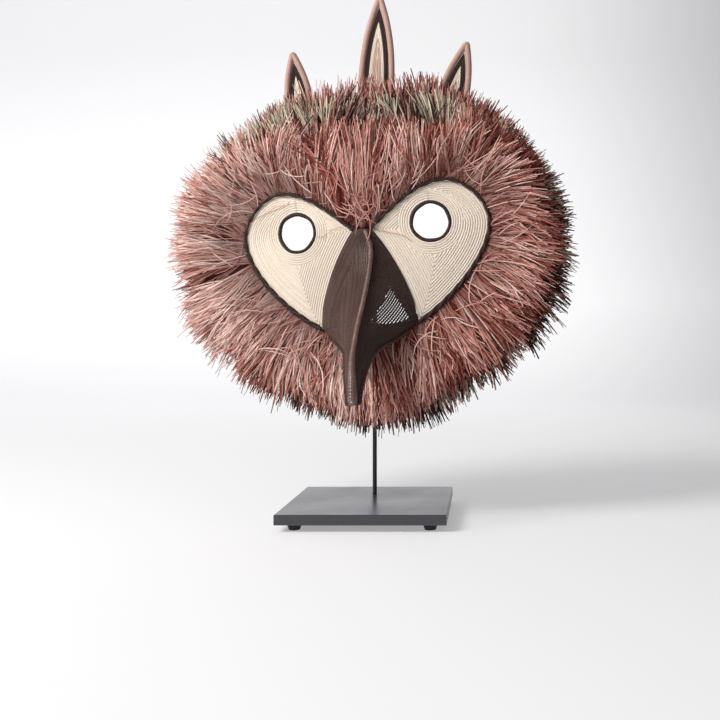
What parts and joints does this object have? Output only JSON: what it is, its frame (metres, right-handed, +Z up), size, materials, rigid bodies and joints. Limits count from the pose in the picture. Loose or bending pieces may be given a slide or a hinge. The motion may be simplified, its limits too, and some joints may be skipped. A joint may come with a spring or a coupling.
{
  "type": "woven bird mask on stand",
  "caption": "Woven palm-fibre bird-of-prey mask with a heart-shaped face, hooked beak, cut-fibre fringe and hooped crests, on a rod with a square foot plate.",
  "frame": {"origin": "on the floor, under the middle of the whole object's box", "axes": "+Z up the rod; -Y is the front, where the mask looks, turned 8 degrees towards -X"},
  "size_m": [0.3788, 0.1932, 0.5129],
  "materials": {
    "cream_weave": "matte",
    "brown_weave": "satin",
    "dark_cord": "satin",
    "pink_cord": "satin",
    "pink_fibre": "matte",
    "dark_fibre": "matte",
    "hood_weave": "matte",
    "steel": "satin",
    "rubber": "matte"
  },
  "bodies": {
    "root": {"stand_plate": "steel", "stand_rod": "steel", "stand_cradle": "steel", "stand_foot_front_left": "rubber", "stand_foot_front_right": "rubber", "stand_foot_back_left": "rubber", "stand_foot_back_right": "rubber", "hood": "hood_weave", "hood_back_cord": "dark_cord", "fringe_front": "pink_fibre", "fringe_middle": "dark_fibre", "fringe_back": "pink_fibre", "cheek_left": "cream_weave", "cheek_right": "cream_weave", "cheek_cord_left": "dark_cord", "cheek_cord_right": "dark_cord", "eye_cord_left": "dark_cord", "eye_cord_right": "dark_cord", "beak": "brown_weave", "beak_ridge_cord": "brown_weave", "beak_lip_cord_left": "brown_weave", "beak_lip_cord_right": "brown_weave", "crest_left_hoop": "pink_cord", "crest_left_border": "dark_cord", "crest_left_panel": "cream_weave", "crest_center_hoop": "pink_cord", "crest_center_border": "dark_cord", "crest_center_panel": "cream_weave", "crest_right_hoop": "pink_cord", "crest_right_border": "dark_cord", "crest_right_panel": "cream_weave"}
  },
  "joints": []
}
